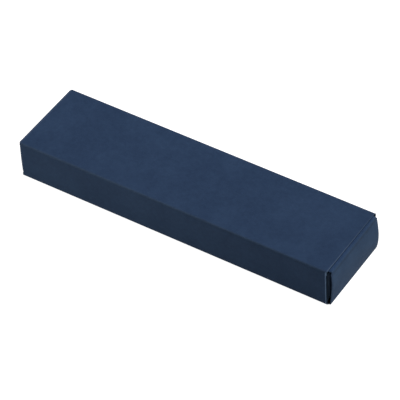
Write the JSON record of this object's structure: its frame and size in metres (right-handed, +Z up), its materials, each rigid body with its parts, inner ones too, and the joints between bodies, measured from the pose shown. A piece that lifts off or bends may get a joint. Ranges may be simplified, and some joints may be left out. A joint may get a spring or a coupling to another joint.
{
  "type": "tuck end folding carton",
  "caption": "Slim closed paperboard carton with a tuck closure at each end, dust flaps and a glued seam, for small flat things.",
  "frame": {"origin": "middle of the sleeve in plan, on the surface that the carton rests on", "axes": "+X along the carton to the end whose closure hangs on the bottom panel, +Y to the wall with the glued seam, +Z up"},
  "size_m": [0.2041, 0.052, 0.025],
  "materials": {
    "paperboard": "matt uncoated, dark blue, fine fibre mottle",
    "seam_glue": "dried white carton glue"
  },
  "bodies": {
    "sleeve": {"top_panel": "paperboard", "bottom_panel": "paperboard", "front_wall": "paperboard", "back_wall": "paperboard", "top_front_crease": "paperboard", "top_back_crease": "paperboard", "bottom_front_crease": "paperboard", "glue_flap_crease": "paperboard", "glue_flap": "paperboard", "seam_glue_line": "seam_glue", "right_closure_crease": "paperboard", "right_front_dust_crease": "paperboard", "right_back_dust_crease": "paperboard", "left_closure_crease": "paperboard", "left_front_dust_crease": "paperboard", "left_back_dust_crease": "paperboard"},
    "right_closure": {"right_closure_panel": "paperboard", "right_tuck_crease": "paperboard"},
    "right_tuck": {"right_tuck_flap": "paperboard"},
    "right_front_dust": {"right_front_dust_flap": "paperboard"},
    "right_back_dust": {"right_back_dust_flap": "paperboard"},
    "left_closure": {"left_closure_panel": "paperboard", "left_tuck_crease": "paperboard"},
    "left_tuck": {"left_tuck_flap": "paperboard"},
    "left_front_dust": {"left_front_dust_flap": "paperboard"},
    "left_back_dust": {"left_back_dust_flap": "paperboard"}
  },
  "joints": [
    {"name": "right_closure_hinge", "type": "hinge", "parent": "sleeve", "child": "right_closure", "pos_m": [0.1012, 0, 0.00025], "axis": [0, 1, 0], "range_deg": [0, 180]},
    {"name": "right_tuck_hinge", "type": "hinge", "parent": "right_closure", "child": "right_tuck", "pos_m": [0.1012, 0, 0.0241], "axis": [0, 1, 0], "range_deg": [-15, 13]},
    {"name": "right_front_dust_hinge", "type": "hinge", "parent": "sleeve", "child": "right_front_dust", "pos_m": [0.09975, -0.02575, 0.0119], "axis": [0, 0, -1], "range_deg": [0, 90]},
    {"name": "right_back_dust_hinge", "type": "hinge", "parent": "sleeve", "child": "right_back_dust", "pos_m": [0.09975, 0.02575, 0.0119], "axis": [0, 0, 1], "range_deg": [0, 90]},
    {"name": "left_closure_hinge", "type": "hinge", "parent": "sleeve", "child": "left_closure", "pos_m": [-0.10055, 0, 0.02475], "axis": [0, 1, 0], "range_deg": [0, 180]},
    {"name": "left_tuck_hinge", "type": "hinge", "parent": "left_closure", "child": "left_tuck", "pos_m": [-0.10055, 0, 0.0009], "axis": [0, 1, 0], "range_deg": [-3, 13]},
    {"name": "left_front_dust_hinge", "type": "hinge", "parent": "sleeve", "child": "left_front_dust", "pos_m": [-0.09975, -0.02575, 0.0131], "axis": [0, 0, 1], "range_deg": [0, 90]},
    {"name": "left_back_dust_hinge", "type": "hinge", "parent": "sleeve", "child": "left_back_dust", "pos_m": [-0.09975, 0.02575, 0.0131], "axis": [0, 0, -1], "range_deg": [0, 90]}
  ],
  "couplings": [
    {"joint": "right_front_dust_hinge", "follows": "right_closure_hinge", "ratio": 0.5},
    {"joint": "right_back_dust_hinge", "follows": "right_closure_hinge", "ratio": 0.5},
    {"joint": "left_front_dust_hinge", "follows": "left_closure_hinge", "ratio": 0.5},
    {"joint": "left_back_dust_hinge", "follows": "left_closure_hinge", "ratio": 0.5}
  ]
}
